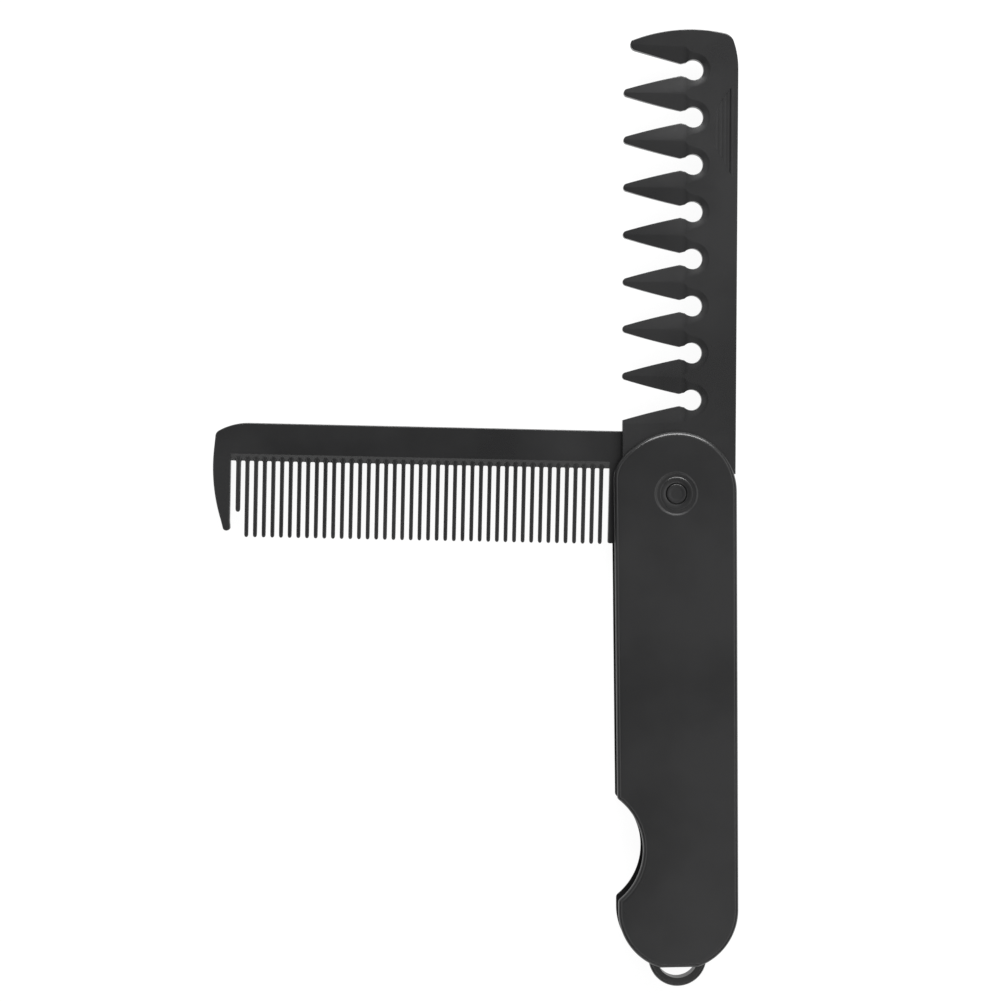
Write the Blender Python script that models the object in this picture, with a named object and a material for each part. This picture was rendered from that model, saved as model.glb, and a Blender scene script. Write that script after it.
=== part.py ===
"""Two-in-one folding comb: a slotted handle and two combs that turn on one pin.

The comb lies on its back. +Y runs from the hanging loop to the pivot, +Z from the
back face to the front face. The origin is the middle of the handle's back face.
Both combs are drawn in their own frame, with the pin's axis at its origin.
"""

import math

import bmesh
import bpy

MM = 0.001

# Layers, from the back face up
PLATE = 1.3 * MM
COMB_THICK = 2.0 * MM
SIDE_GAP = 0.3 * MM
MIDDLE_GAP = 0.4 * MM
FINE_Z = PLATE + SIDE_GAP + COMB_THICK / 2
WIDE_Z = FINE_Z + COMB_THICK + MIDDLE_GAP
SLOT_TOP = WIDE_Z + COMB_THICK / 2 + SIDE_GAP
THICK = SLOT_TOP + PLATE

# Pivot
PIVOT_X = 0.12 * MM
PIVOT_Y = 50.0 * MM
PIN_RADIUS = 1.6 * MM
PIN_HEAD_RADIUS = 2.3 * MM
PIN_HEAD_THICK = 0.6 * MM
PIN_INSET = 0.1 * MM
DIMPLE_RADIUS = 1.55 * MM
DIMPLE_DEPTH = 0.12 * MM
RUNNING_GAP = 0.25 * MM

# Handle
HALF_WIDTH_TOP = 14.77 * MM
HALF_WIDTH_BOTTOM = 14.51 * MM
BOTTOM_CENTRE_X = -0.02 * MM
BOTTOM_CENTRE_Y = -50.36 * MM
BOTTOM_FLAT_Y = -64.00 * MM
TOP_CENTRE_X = 0.20 * MM
TOP_CENTRE_Y = 50.28 * MM
TOP_RADIUS = 14.57 * MM
TOP_FACET_DEG = 122.5
SHOULDER_RADIUS = 4.5 * MM
NOTCH_X = -23.85 * MM
NOTCH_Y = -35.4 * MM
NOTCH_RADIUS = 15.40 * MM
RIM_ROUND = 0.95 * MM

# Slot between the plates
SPINE_INNER_X = 13.62 * MM
SLOT_END_RADIUS = 13.85 * MM
SLOT_END_Y = -61.25 * MM
SLOT_MOUTH_X = -7.2 * MM
SPINE_TOP_Y = PIVOT_Y + 4.2 * MM

# Hanging loop
LOOP_Y = -62.38 * MM
LOOP_RADIUS = 6.96 * MM
LOOP_HOLE_RADIUS = 5.10 * MM
LOOP_THICK = 2.6 * MM

# Round boss in a recess around the pin
RECESS_RADIUS = 5.28 * MM
RECESS_DEPTH = 0.35 * MM
BOSS_RADIUS = 3.8 * MM
BOSS_INSET = 0.08 * MM
SEAT_DEPTH = 0.85 * MM

# Both combs
TANG_RADIUS = 13.1 * MM
STOP_Y = 4.7 * MM

# Wide comb, in its own frame: it points along +Y with its teeth towards -X
WIDE_TILT_DEG = -0.753
WIDE_BACK_X = 14.43 * MM
WIDE_FRONT_X = -12.84 * MM
SLOT_COUNT = 8
SLOT_PITCH = 11.255 * MM
FIRST_SLOT_Y = 22.45 * MM
HOLE_X = 3.69 * MM
HOLE_RADIUS = 2.46 * MM
HOLE_OPEN_DEG = 135.0
NECK_X = 0.70 * MM
NECK_HALF = 1.455 * MM
NECK_RADIUS = 2.5 * MM
FLANK_DEG = (12.2, 16.5)
END_FLANK_DEG = (15.0, 15.8)
FLANK_LENGTH = 12.8 * MM
EDGE_HALF = 0.45 * MM
BEVEL_RING_RADIUS = 4.2 * MM
BEVEL_RING_DEG = 80.0
RIDGE_START_X = 2.90 * MM
RIDGE_OVERLAP = 0.04 * MM
RIDGE_FALL_X = 2.0 * MM
RIDGE_TIP_HALF = 0.50 * MM
SLOT_MOUTH = -17.0 * MM
LEAD_OUT = 0.9 * MM
CUT_BEYOND = 0.06 * MM
END_TIP_X = -9.87 * MM
END_TIP_RADIUS = 1.50 * MM
END_ARC_X = 3.3 * MM
END_TOP_Y = 110.80 * MM
END_ARC_RADIUS = 39.0 * MM
BACK_CURVE_Y = 101.5 * MM
BACK_CURVE_RADIUS = 20.0 * MM
BACK_CORNER_RADIUS = 3.0 * MM

# Fine comb, in its own frame: it points along -X with its teeth towards -Y
FINE_TILT_DEG = -1.76
FINE_BACK_Y = 14.72 * MM
FINE_ROOT_Y = 5.65 * MM
FINE_TIP_Y = -12.60 * MM
TANG_LEFT_X = -15.80 * MM
TANG_BOTTOM_Y = -12.36 * MM
TOOTH_COUNT = 42
LAST_TOOTH_X = -17.72 * MM
FIRST_TOOTH_X = -102.63 * MM
SHORT_TOOTH_X = -104.74 * MM
SHORT_TIP_Y = -6.60 * MM
SHORT_WIDTH = 1.10 * MM
TOOTH_ROOT_WIDTH = 0.86 * MM
TOOTH_TIP_WIDTH = 0.78 * MM
TOOTH_ROOT_DEPTH = 1.76 * MM
TOOTH_TIP_DEPTH = 1.20 * MM
ROOT_BEVEL_HEIGHT = 1.65 * MM
ROOT_BEVEL_HALF = 0.60 * MM
GUARD_LEFT_X = -110.80 * MM
GUARD_INNER_X = -106.60 * MM
GUARD_SIDE_RADIUS = 42.5 * MM
GUARD_SIDE_Y = 4.5 * MM
GUARD_TIP_X = -107.35 * MM
GUARD_TIP_Y = -10.25 * MM
GUARD_TIP_RADIUS = 0.90 * MM
CORNER_ARC_X = -102.2 * MM
CORNER_ARC_RADIUS = 14.6 * MM
CORNER_ARC_DEG = 120.0
CORNER_X = -108.75 * MM
CORNER_Y = 11.35 * MM
CORNER_RADIUS = 1.58 * MM

PLASTIC = (0.032, 0.032, 0.033)
COMB_RIM = 0.35 * MM


def clear_scene():
    """Remove whatever the scene holds."""
    for obj in list(bpy.data.objects):
        bpy.data.objects.remove(obj, do_unlink=True)


def make_material(name, roughness):
    """A black moulded plastic."""
    material = bpy.data.materials.new(name)
    material.use_nodes = True
    shader = material.node_tree.nodes["Principled BSDF"]
    shader.inputs["Base Color"].default_value = (*PLASTIC, 1.0)
    shader.inputs["Roughness"].default_value = roughness
    shader.inputs["Metallic"].default_value = 0.0
    return material


def arc(centre, radius, start, end, steps):
    """Points on an arc from start to end, in degrees."""
    points = []
    for i in range(steps + 1):
        angle = math.radians(start + (end - start) * i / steps)
        points.append((centre[0] + radius * math.cos(angle),
                       centre[1] + radius * math.sin(angle)))
    return points


def new_object(name, mesh_builder, material=None):
    """Link a new object whose mesh is taken from a bmesh."""
    bmesh.ops.recalc_face_normals(mesh_builder, faces=mesh_builder.faces)
    mesh = bpy.data.meshes.new(name)
    mesh_builder.to_mesh(mesh)
    mesh_builder.free()
    obj = bpy.data.objects.new(name, mesh)
    bpy.context.scene.collection.objects.link(obj)
    if material:
        mesh.materials.append(material)
    return obj


def loft(name, loops, material=None):
    """A closed solid through loops of equal length, each a list of (x, y, z)."""
    builder = bmesh.new()
    rings = [[builder.verts.new(point) for point in loop] for loop in loops]
    for lower, upper in zip(rings, rings[1:]):
        count = len(lower)
        for i in range(count):
            j = (i + 1) % count
            builder.faces.new((lower[i], lower[j], upper[j], upper[i]))
    builder.faces.new(list(reversed(rings[0])))
    builder.faces.new(rings[-1])
    return new_object(name, builder, material)


def at_height(outline, z):
    """The outline's points at one height."""
    return [(x, y, z) for x, y in outline]


def slab(name, outline, low, high, material=None):
    """A flat plate between two heights."""
    return loft(name, [at_height(outline, low), at_height(outline, high)], material)


def turned(name, profile, steps, material=None):
    """A solid turned about Z from (radius, z) rows that start and end on the axis side."""
    loops = []
    for radius, z in profile:
        loops.append([(x, y, z) for x, y in arc((0, 0), radius, 0, 360, steps)[:-1]])
    return loft(name, loops, material)


def as_cutter(obj):
    """Keep a helper out of the finished comb."""
    obj.hide_render = True
    obj.display_type = "WIRE"
    return obj


def combine(obj, other, operation):
    """Add a live Boolean with another object."""
    modifier = obj.modifiers.new(other.name, "BOOLEAN")
    modifier.operation = operation
    modifier.solver = "EXACT"
    modifier.object = as_cutter(other)


def round_rims(obj, width, segments):
    """Round the sharp edges of a plate."""
    modifier = obj.modifiers.new("rims", "BEVEL")
    modifier.width = width
    modifier.segments = segments
    modifier.limit_method = "ANGLE"
    modifier.angle_limit = math.radians(32)


def shade_round(obj):
    """Smooth shading with crisp edges."""
    obj.data.shade_smooth()
    obj.data.set_sharp_from_angle(angle=math.radians(30))


def handle_side(y):
    """Half width of the handle at a height along it."""
    share = (PIVOT_Y - y) / (PIVOT_Y - BOTTOM_CENTRE_Y)
    return HALF_WIDTH_TOP + (HALF_WIDTH_BOTTOM - HALF_WIDTH_TOP) * share


def shoulder():
    """The rounded corner between the top's straight facet and the left side."""
    top = (TOP_CENTRE_X, TOP_CENTRE_Y)
    facet = math.radians(TOP_FACET_DEG)
    normal = (math.cos(facet), math.sin(facet))
    centre_x = -handle_side(PIVOT_Y + SHOULDER_RADIUS) + SHOULDER_RADIUS
    reach = TOP_RADIUS - SHOULDER_RADIUS
    centre_y = top[1] + (reach - (centre_x - top[0]) * normal[0]) / normal[1]
    return arc((centre_x, centre_y), SHOULDER_RADIUS, TOP_FACET_DEG, 180, 5)


def notch():
    """The thumb notch, from its upper corner to its lower one."""
    points = []
    for sign in (1, -1):
        y = NOTCH_Y
        for _ in range(8):
            depth = -handle_side(y) - NOTCH_X
            y = NOTCH_Y + sign * math.sqrt(NOTCH_RADIUS ** 2 - depth ** 2)
        points.append(math.degrees(math.atan2(y - NOTCH_Y, depth)))
    return arc((NOTCH_X, NOTCH_Y), NOTCH_RADIUS, points[0], points[1], 18)


def handle_outline():
    """The plates' outline, anticlockwise from the foot of the right side."""
    flat = math.degrees(math.asin((BOTTOM_CENTRE_Y - BOTTOM_FLAT_Y) / HALF_WIDTH_BOTTOM))
    foot = (BOTTOM_CENTRE_X, BOTTOM_CENTRE_Y)
    outline = arc(foot, HALF_WIDTH_BOTTOM, -flat, 0, 12)
    outline += arc((TOP_CENTRE_X, TOP_CENTRE_Y), TOP_RADIUS, 0, TOP_FACET_DEG, 22)
    outline += shoulder()
    outline += notch()
    outline += arc(foot, HALF_WIDTH_BOTTOM, 180, 180 + flat, 12)
    return outline


def slot_outline():
    """The space that the combs fold into, open at the left and the top."""
    far = 2 * HALF_WIDTH_TOP
    end_rise = BOTTOM_CENTRE_Y - SLOT_END_Y
    start = -math.degrees(math.asin(end_rise / SLOT_END_RADIUS))
    stop = -math.degrees(math.acos(SPINE_INNER_X / SLOT_END_RADIUS))
    outline = [(-far, BOTTOM_FLAT_Y), (SLOT_MOUTH_X - 2.5 * MM, BOTTOM_FLAT_Y)]
    outline += [(SLOT_MOUTH_X, SLOT_END_Y)]
    outline += arc((BOTTOM_CENTRE_X, BOTTOM_CENTRE_Y), SLOT_END_RADIUS, start, stop, 10)
    outline += [(SPINE_INNER_X, SPINE_TOP_Y), (far, SPINE_TOP_Y)]
    outline += [(far, PIVOT_Y + far), (-far, PIVOT_Y + far)]
    return outline


def at_pivot(obj):
    """Move a piece that is drawn about the pin to the pin."""
    obj.location = (PIVOT_X, PIVOT_Y, 0)
    return obj


def make_handle(material):
    """Two plates, the spine between them, the loop and the pivot boss."""
    handle = slab("handle", handle_outline(), 0, THICK, material)
    round_rims(handle, RIM_ROUND, 3)
    middle = THICK / 2
    low = middle - LOOP_THICK / 2
    high = middle + LOOP_THICK / 2
    loop = slab("loop_ring", arc((0, LOOP_Y), LOOP_RADIUS, 0, 360, 40)[:-1], low, high)
    round_rims(loop, 0.5 * MM, 2)
    combine(handle, loop, "UNION")
    flat_angle = math.degrees(math.asin((LOOP_Y - BOTTOM_FLAT_Y) / LOOP_HOLE_RADIUS))
    eye = arc((0, LOOP_Y), LOOP_HOLE_RADIUS, 180 + flat_angle, 360 - flat_angle, 20)
    combine(handle, slab("loop_eye", eye, -MM, THICK + MM), "DIFFERENCE")
    slot = slab("slot_space", slot_outline(), PLATE, SLOT_TOP)
    combine(handle, slot, "DIFFERENCE")
    groove = [
        (RECESS_RADIUS, THICK + MM),
        (RECESS_RADIUS, THICK - RECESS_DEPTH),
        (BOSS_RADIUS + 0.1 * MM, THICK - RECESS_DEPTH),
        (BOSS_RADIUS, THICK - BOSS_INSET),
        (BOSS_RADIUS - 0.35 * MM, THICK - BOSS_INSET),
        (PIN_HEAD_RADIUS + 0.3 * MM, THICK - 2.5 * BOSS_INSET),
        (PIN_HEAD_RADIUS + 0.3 * MM, THICK - SEAT_DEPTH),
        (PIN_RADIUS + RUNNING_GAP, THICK - SEAT_DEPTH),
        (PIN_RADIUS + RUNNING_GAP, SEAT_DEPTH),
        (PIN_HEAD_RADIUS + 0.3 * MM, SEAT_DEPTH),
        (PIN_HEAD_RADIUS + 0.3 * MM, -MM),
    ]
    combine(handle, at_pivot(turned("pivot_bore", groove, 40)), "DIFFERENCE")
    shade_round(handle)
    return handle


def make_pin(material):
    """The pin, with a flat head in each plate and a dimple in the front one."""
    edge = 0.15 * MM
    low = PIN_INSET
    high = THICK - PIN_INSET
    profile = [
        (PIN_HEAD_RADIUS - edge, low),
        (PIN_HEAD_RADIUS, low + edge),
        (PIN_HEAD_RADIUS, low + PIN_HEAD_THICK),
        (PIN_RADIUS, low + PIN_HEAD_THICK),
        (PIN_RADIUS, high - PIN_HEAD_THICK),
        (PIN_HEAD_RADIUS, high - PIN_HEAD_THICK),
        (PIN_HEAD_RADIUS, high - edge),
        (PIN_HEAD_RADIUS - edge, high),
        (DIMPLE_RADIUS, high),
        (DIMPLE_RADIUS - edge, high - DIMPLE_DEPTH),
    ]
    pin = at_pivot(turned("pivot_pin", profile, 32, material))
    shade_round(pin)
    return pin


def flank_point(share, angles):
    """A tooth's flank, from the slot's neck (0) to the tooth's tip (1)."""
    neck, tip = (math.radians(angle) for angle in angles)
    radius = FLANK_LENGTH / (tip - neck)
    angle = neck + (tip - neck) * share
    start_x = NECK_X - NECK_RADIUS * math.sin(neck)
    start_y = NECK_HALF + NECK_RADIUS * (1 - math.cos(neck))
    return (start_x - radius * (math.sin(angle) - math.sin(neck)),
            start_y + radius * (math.cos(neck) - math.cos(angle)))


def slot_side(angles):
    """Half of a keyhole slot up to its teeth's tips, seen from the slot's middle.

    Each row holds the point on the slot's edge and the point on the comb's face
    where the bevel from that edge ends.
    """
    ridge = SLOT_PITCH / 2 + RIDGE_OVERLAP
    rows = []
    steps = 6
    for i, point in enumerate(arc((HOLE_X, 0), HOLE_RADIUS, 0, HOLE_OPEN_DEG, steps)):
        angle = HOLE_OPEN_DEG * i / steps
        ring = arc((HOLE_X, 0), BEVEL_RING_RADIUS, min(angle, BEVEL_RING_DEG), 0, 1)[0]
        share = max(0.0, (angle - BEVEL_RING_DEG) / (HOLE_OPEN_DEG - BEVEL_RING_DEG))
        rows.append((point, (ring[0] + (RIDGE_START_X - ring[0]) * share,
                             ring[1] + (ridge - ring[1]) * share)))
    edge = arc((NECK_X, NECK_HALF + NECK_RADIUS), NECK_RADIUS, -65, -90 - angles[0], 3)
    edge += [flank_point(i / 4, angles) for i in range(1, 4)]
    return rows + [(point, (point[0], ridge)) for point in edge]


def round_tip(centre, radius, start, stop):
    """The rows round half a tooth's tip, and two more that lead away from it."""
    ridge = SLOT_PITCH / 2 + RIDGE_OVERLAP
    edge = arc(centre, radius, start, stop, max(5, round((start - stop) / 18)))
    rows = [(point, (point[0], max(ridge, point[1]))) for point in edge]
    away = math.radians(stop)
    x = edge[-1][0] + LEAD_OUT * math.cos(away)
    y = edge[-1][1] + LEAD_OUT * math.sin(away)
    return rows + [((x, y), (x, y)), ((SLOT_MOUTH, y), (SLOT_MOUTH, y))]


def tooth_side():
    """The rows along one side of an inner tooth."""
    end = flank_point(1, FLANK_DEG)
    slope = math.radians(FLANK_DEG[1])
    radius = (SLOT_PITCH / 2 - end[1]) / math.cos(slope)
    centre = (end[0] + radius * math.sin(slope), SLOT_PITCH / 2)
    return slot_side(FLANK_DEG) + round_tip(centre, radius, -90 - FLANK_DEG[1], -195)


def end_tooth_side():
    """The rows along the end tooth's lower side, whose tip touches that flank."""
    flank = [flank_point(i / 40, END_FLANK_DEG) for i in range(41)]
    near = min(flank, key=lambda point: abs(point[0] - END_TIP_X))
    slope = math.radians(END_FLANK_DEG[1])
    rise = near[1] + (near[0] - END_TIP_X) * math.tan(slope)
    centre = (END_TIP_X, rise + END_TIP_RADIUS / math.cos(slope))
    start = -90 - END_FLANK_DEG[1]
    return slot_side(END_FLANK_DEG) + round_tip(centre, END_TIP_RADIUS, start, -235)


def root_side():
    """The rows along the flank that ends at the comb's root shoulder."""
    end = flank_point(1, FLANK_DEG)
    drop = (end[0] - SLOT_MOUTH) * math.tan(math.radians(FLANK_DEG[1]))
    beyond = (SLOT_MOUTH, end[1] + drop)
    ridge = SLOT_PITCH / 2 + RIDGE_OVERLAP
    rows = [(end, (end[0], ridge)), (beyond, (SLOT_MOUTH, max(ridge, beyond[1])))]
    return slot_side(FLANK_DEG) + rows


def slot_cutter(index):
    """What is cut away between two teeth, bevels included."""
    upper = end_tooth_side() if index == SLOT_COUNT - 1 else tooth_side()
    lower = root_side() if index == 0 else tooth_side()
    hole_y = FIRST_SLOT_Y + SLOT_PITCH * index
    rise = COMB_THICK / 2 - EDGE_HALF
    stretch = (rise + CUT_BEYOND) / rise
    edge = []
    flare = []
    for rows, side in ((upper, 1), (lower[:0:-1], -1)):
        for (ex, ey), (fx, fy) in rows:
            edge.append((ex, hole_y + side * ey))
            flare.append((ex + (fx - ex) * stretch,
                          hole_y + side * (ey + (fy - ey) * stretch)))
    top = COMB_THICK / 2 + CUT_BEYOND
    levels = ((flare, -top), (edge, -EDGE_HALF), (edge, EDGE_HALF), (flare, top))
    return loft(f"tooth_gap_{index + 1}", [at_height(o, WIDE_Z + z) for o, z in levels])


def back_corner(back, end):
    """The round corner that touches the back curve and the end arc from inside."""
    reach_back = BACK_CURVE_RADIUS - BACK_CORNER_RADIUS
    reach_end = END_ARC_RADIUS - BACK_CORNER_RADIUS
    apart = math.dist(back, end)
    along = (reach_back ** 2 - reach_end ** 2 + apart ** 2) / (2 * apart)
    aside = math.sqrt(reach_back ** 2 - along ** 2)
    way = ((end[0] - back[0]) / apart, (end[1] - back[1]) / apart)
    centre = (back[0] + way[0] * along - way[1] * aside,
              back[1] + way[1] * along + way[0] * aside)
    start = math.degrees(math.atan2(centre[1] - back[1], centre[0] - back[0]))
    stop = math.degrees(math.atan2(centre[1] - end[1], centre[0] - end[0]))
    return centre, start, stop


def wide_outline():
    """The wide comb without its slots, anticlockwise from the stop shoulder."""
    last_hole_y = FIRST_SLOT_Y + SLOT_PITCH * (SLOT_COUNT - 1)
    outside = WIDE_FRONT_X - 0.4 * MM
    outline = [(WIDE_BACK_X, STOP_Y)]
    back_centre = (WIDE_BACK_X - BACK_CURVE_RADIUS, BACK_CURVE_Y)
    end_centre = (END_ARC_X, END_TOP_Y - END_ARC_RADIUS)
    corner_centre, start, stop = back_corner(back_centre, end_centre)
    outline += arc(back_centre, BACK_CURVE_RADIUS, 0, start, 4)[:-1]
    outline += arc(corner_centre, BACK_CORNER_RADIUS, start, stop, 5)[:-1]
    outline += arc(end_centre, END_ARC_RADIUS, stop, 112.5, 8)
    outline += [(outside, last_hole_y + SLOT_PITCH / 2), (outside, FIRST_SLOT_Y)]
    outline += [(WIDE_FRONT_X, FIRST_SLOT_Y - 2 * MM)]
    left = math.degrees(math.acos(WIDE_FRONT_X / TANG_RADIUS))
    right = math.degrees(math.asin(STOP_Y / TANG_RADIUS))
    outline += arc((0, 0), TANG_RADIUS, left, 360 + right, 30)
    return outline


def make_wide_comb(material):
    """Pointed bevelled teeth between keyhole slots, on a plate with a round tang."""
    low = WIDE_Z - COMB_THICK / 2
    high = WIDE_Z + COMB_THICK / 2
    comb = slab("wide_comb", wide_outline(), low, high, material)
    round_rims(comb, COMB_RIM, 2)
    slope = (COMB_THICK / 2 - RIDGE_TIP_HALF) / (RIDGE_FALL_X - WIDE_FRONT_X)
    mouth_z = COMB_THICK / 2 - slope * (RIDGE_FALL_X - SLOT_MOUTH)
    for side in (1, -1):
        wedge = [(RIDGE_FALL_X, COMB_THICK / 2), (SLOT_MOUTH, mouth_z), (SLOT_MOUTH, COMB_THICK)]
        wedge += [(RIDGE_FALL_X + MM, COMB_THICK)]
        loops = [[(x, y, WIDE_Z + side * z) for x, z in wedge]
                 for y in (FIRST_SLOT_Y, END_TOP_Y + MM)]
        combine(comb, at_pivot(loft(f"tip_wedge_{side}", loops)), "DIFFERENCE")
    for index in range(SLOT_COUNT):
        combine(comb, at_pivot(slot_cutter(index)), "DIFFERENCE")
    bore = slab("wide_bore", arc((0, 0), PIN_RADIUS + RUNNING_GAP, 0, 360, 32)[:-1], 0, THICK)
    combine(comb, at_pivot(bore), "DIFFERENCE")
    return comb


def guard_outline():
    """The fine comb's end, from its back edge round the guard to the tooth roots."""
    corner_centre = (CORNER_ARC_X, FINE_BACK_Y - CORNER_ARC_RADIUS)
    outline = arc(corner_centre, CORNER_ARC_RADIUS, 90, CORNER_ARC_DEG, 4)
    side_centre = (GUARD_LEFT_X + GUARD_SIDE_RADIUS, GUARD_SIDE_Y)
    outline += arc((CORNER_X, CORNER_Y), CORNER_RADIUS, 130, 172, 4)
    outline += arc(side_centre, GUARD_SIDE_RADIUS, 175, 198, 8)
    tip = (GUARD_TIP_X, GUARD_TIP_Y)
    outline += arc(tip, GUARD_TIP_RADIUS, 205, 350, 6)
    outline += [(GUARD_INNER_X, GUARD_TIP_Y + 1.5 * MM), (GUARD_INNER_X, FINE_ROOT_Y)]
    return outline


def fine_outline():
    """The fine comb without its teeth, anticlockwise from the stop shoulder."""
    outline = [(-STOP_Y, FINE_BACK_Y)]
    outline += guard_outline()
    outline += [(TANG_LEFT_X, FINE_ROOT_Y), (TANG_LEFT_X, TANG_BOTTOM_Y)]
    start = 180 + math.degrees(math.asin(-TANG_BOTTOM_Y / TANG_RADIUS))
    stop = 360 + 180 - math.degrees(math.acos(STOP_Y / TANG_RADIUS))
    outline += arc((0, 0), TANG_RADIUS, start, stop, 26)
    return outline


def tooth_section(x, y, width, depth):
    """An eight-sided section of a fine tooth."""
    cut = 0.22 * min(width, depth)
    half_w = width / 2
    half_d = depth / 2
    corners = [(half_w, half_d - cut), (half_w - cut, half_d)]
    corners += [(-a, b) for a, b in reversed(corners)]
    corners += [(-a, -b) for a, b in corners]
    return [(x + a, y, FINE_Z + b) for a, b in corners]


def add_tooth(builder, x, tip_y, root_width, tip_width):
    """One fine tooth, from inside the spine to its rounded tip."""
    rows = [
        (FINE_ROOT_Y + 2.2 * MM, root_width, TOOTH_ROOT_DEPTH),
        (tip_y + 0.45 * tip_width, tip_width, TOOTH_TIP_DEPTH),
        (tip_y + 0.12 * tip_width, 0.78 * tip_width, 0.82 * TOOTH_TIP_DEPTH),
        (tip_y, 0.40 * tip_width, 0.50 * TOOTH_TIP_DEPTH),
    ]
    rings = [[builder.verts.new(p) for p in tooth_section(x, *row)] for row in rows]
    for upper, lower in zip(rings, rings[1:]):
        for i in range(8):
            j = (i + 1) % 8
            builder.faces.new((upper[i], upper[j], lower[j], lower[i]))
    builder.faces.new(rings[0])
    builder.faces.new(rings[-1])


def make_teeth():
    """All the fine teeth, as loose bodies that the spine is joined to."""
    builder = bmesh.new()
    pitch = (LAST_TOOTH_X - FIRST_TOOTH_X) / (TOOTH_COUNT - 1)
    add_tooth(builder, SHORT_TOOTH_X, SHORT_TIP_Y, SHORT_WIDTH, SHORT_WIDTH)
    for i in range(TOOTH_COUNT):
        x = FIRST_TOOTH_X + pitch * i
        add_tooth(builder, x, FINE_TIP_Y, TOOTH_ROOT_WIDTH, TOOTH_TIP_WIDTH)
    return new_object("fine_teeth", builder)


def make_fine_comb(material):
    """A flat spine with an end guard, slim teeth and a square tang."""
    low = FINE_Z - COMB_THICK / 2
    high = FINE_Z + COMB_THICK / 2
    comb = slab("fine_comb", fine_outline(), low, high, material)
    round_rims(comb, COMB_RIM, 2)
    top_y = FINE_ROOT_Y + ROOT_BEVEL_HEIGHT
    slope = (COMB_THICK / 2 - ROOT_BEVEL_HALF) / ROOT_BEVEL_HEIGHT
    below = 1.0 * MM
    left = GUARD_INNER_X + 0.02 * MM
    right = TANG_LEFT_X - 0.02 * MM
    for side in (1, -1):
        wedge = [(top_y, COMB_THICK / 2), (FINE_ROOT_Y - below, ROOT_BEVEL_HALF - slope * below)]
        wedge += [(FINE_ROOT_Y - below, COMB_THICK), (top_y, COMB_THICK)]
        loops = [[(x, y, FINE_Z + side * z) for y, z in wedge] for x in (left, right)]
        combine(comb, at_pivot(loft(f"root_wedge_{side}", loops)), "DIFFERENCE")
    combine(comb, at_pivot(make_teeth()), "UNION")
    bore = slab("fine_bore", arc((0, 0), PIN_RADIUS + RUNNING_GAP, 0, 360, 32)[:-1], 0, THICK)
    combine(comb, at_pivot(bore), "DIFFERENCE")
    return comb


def hang_on_pin(name, comb, tilt):
    """Hang a comb and its helpers from an empty on the pin's axis."""
    hinge = bpy.data.objects.new(name, None)
    bpy.context.scene.collection.objects.link(hinge)
    hinge.location = (PIVOT_X, PIVOT_Y, 0)
    pieces = [comb] + [modifier.object for modifier in comb.modifiers
                       if modifier.type == "BOOLEAN"]
    for piece in pieces:
        piece.location = (0, 0, 0)
        piece.parent = hinge
    hinge.rotation_euler.z = math.radians(tilt)


def main():
    clear_scene()
    make_handle(make_material("handle_plastic", 0.42))
    make_pin(make_material("pin_plastic", 0.40))
    wide = make_wide_comb(make_material("wide_comb_plastic", 0.42))
    hang_on_pin("wide_comb_hinge", wide, WIDE_TILT_DEG)
    fine = make_fine_comb(make_material("fine_comb_plastic", 0.42))
    hang_on_pin("fine_comb_hinge", fine, FINE_TILT_DEG)


main()
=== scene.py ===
import math

import bmesh
import bpy
from mathutils import Matrix, Vector


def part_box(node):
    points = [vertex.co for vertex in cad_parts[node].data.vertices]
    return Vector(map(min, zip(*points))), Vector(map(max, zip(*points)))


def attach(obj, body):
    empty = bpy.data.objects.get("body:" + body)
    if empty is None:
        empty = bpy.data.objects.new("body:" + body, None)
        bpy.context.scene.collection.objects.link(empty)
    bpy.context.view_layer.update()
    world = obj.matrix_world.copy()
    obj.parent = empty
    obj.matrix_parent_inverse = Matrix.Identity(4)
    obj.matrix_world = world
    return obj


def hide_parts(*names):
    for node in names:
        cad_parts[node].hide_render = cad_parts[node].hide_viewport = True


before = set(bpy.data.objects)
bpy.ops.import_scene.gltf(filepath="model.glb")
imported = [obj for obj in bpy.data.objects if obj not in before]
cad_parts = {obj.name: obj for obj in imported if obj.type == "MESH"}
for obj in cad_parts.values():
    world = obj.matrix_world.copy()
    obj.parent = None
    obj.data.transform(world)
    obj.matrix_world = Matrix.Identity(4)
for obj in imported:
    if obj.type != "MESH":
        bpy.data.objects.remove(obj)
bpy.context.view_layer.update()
mm = 0.001
pivot = (0.12, 50.0)
thick = 7.6
slotLow, slotHigh = 1.3, 6.3
beyond = 1.0  # how far a cutter reaches past the faces that it cuts
roundTurns = (0.0, 0.4, 0.8, 1.2, 1.57)  # the turns of a small rounded edge, in radians
print("frame loaded:", ", ".join(sorted(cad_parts)))


def deselectAll():
    if bpy.context.mode != "OBJECT":
        bpy.ops.object.mode_set(mode="OBJECT")
    bpy.ops.object.select_all(action="DESELECT")


def pickPiece(piece, mode="OBJECT"):
    deselectAll()
    piece.select_set(True)
    bpy.context.view_layer.objects.active = piece
    bpy.ops.object.mode_set(mode=mode)


def selectWhere(piece, kind, test):
    bpy.ops.mesh.select_mode(type=kind)
    bpy.ops.mesh.select_all(action="DESELECT")
    live = bmesh.from_edit_mesh(piece.data)
    parts = {"VERT": live.verts, "EDGE": live.edges, "FACE": live.faces}[kind]
    found = [part for part in parts if test(part)]
    for part in found:
        part.select_set(True)
    live.select_flush_mode()
    bmesh.update_edit_mesh(piece.data)
    return len(found)


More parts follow.
